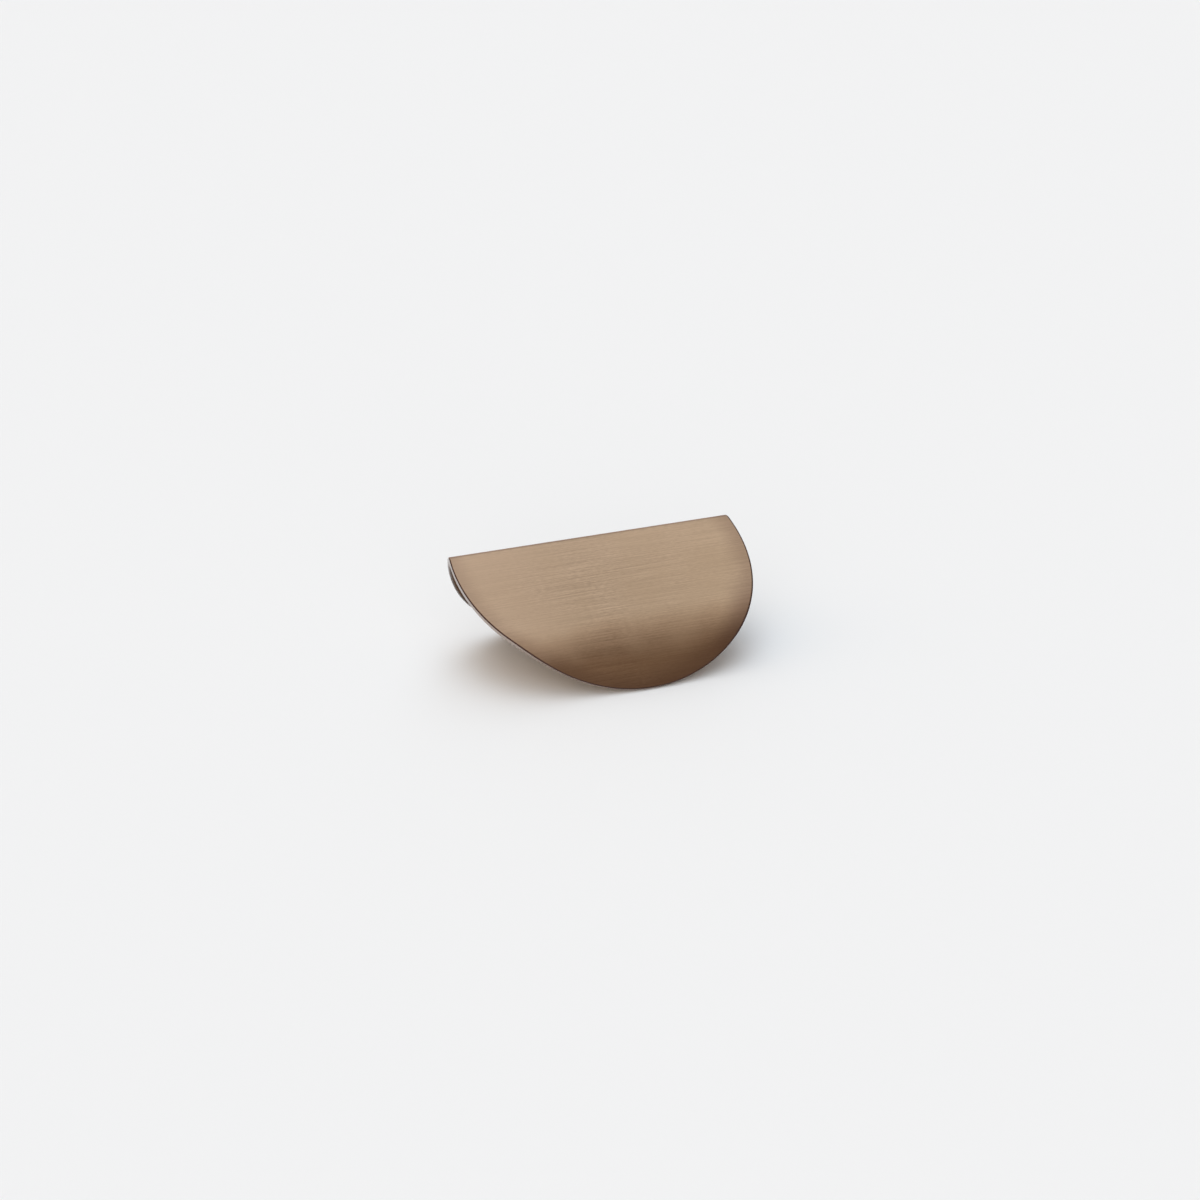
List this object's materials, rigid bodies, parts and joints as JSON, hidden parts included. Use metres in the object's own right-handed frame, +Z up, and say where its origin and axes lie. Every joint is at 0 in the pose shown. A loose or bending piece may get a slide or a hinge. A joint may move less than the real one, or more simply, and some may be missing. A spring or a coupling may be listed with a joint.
{
  "type": "cabinet pull",
  "caption": "Half-moon edge pull: a disc of brushed bronze sheet folded to a right angle, with a screw flange behind the panel and a downturned finger lip in front.",
  "frame": {"origin": "midway between the screw holes, on the flange's front face, which lies against the back of the panel", "axes": "as fixed in use: +X along the fold, +Y to the back of the panel, where the screws go in, and +Z up; the lip points to -Y, towards the user"},
  "size_m": [0.08, 0.0475, 0.0337],
  "materials": {
    "bronze": "fine brushed bronze, grain along the fold"
  },
  "bodies": {
    "root": {"pull": "bronze"}
  },
  "joints": []
}
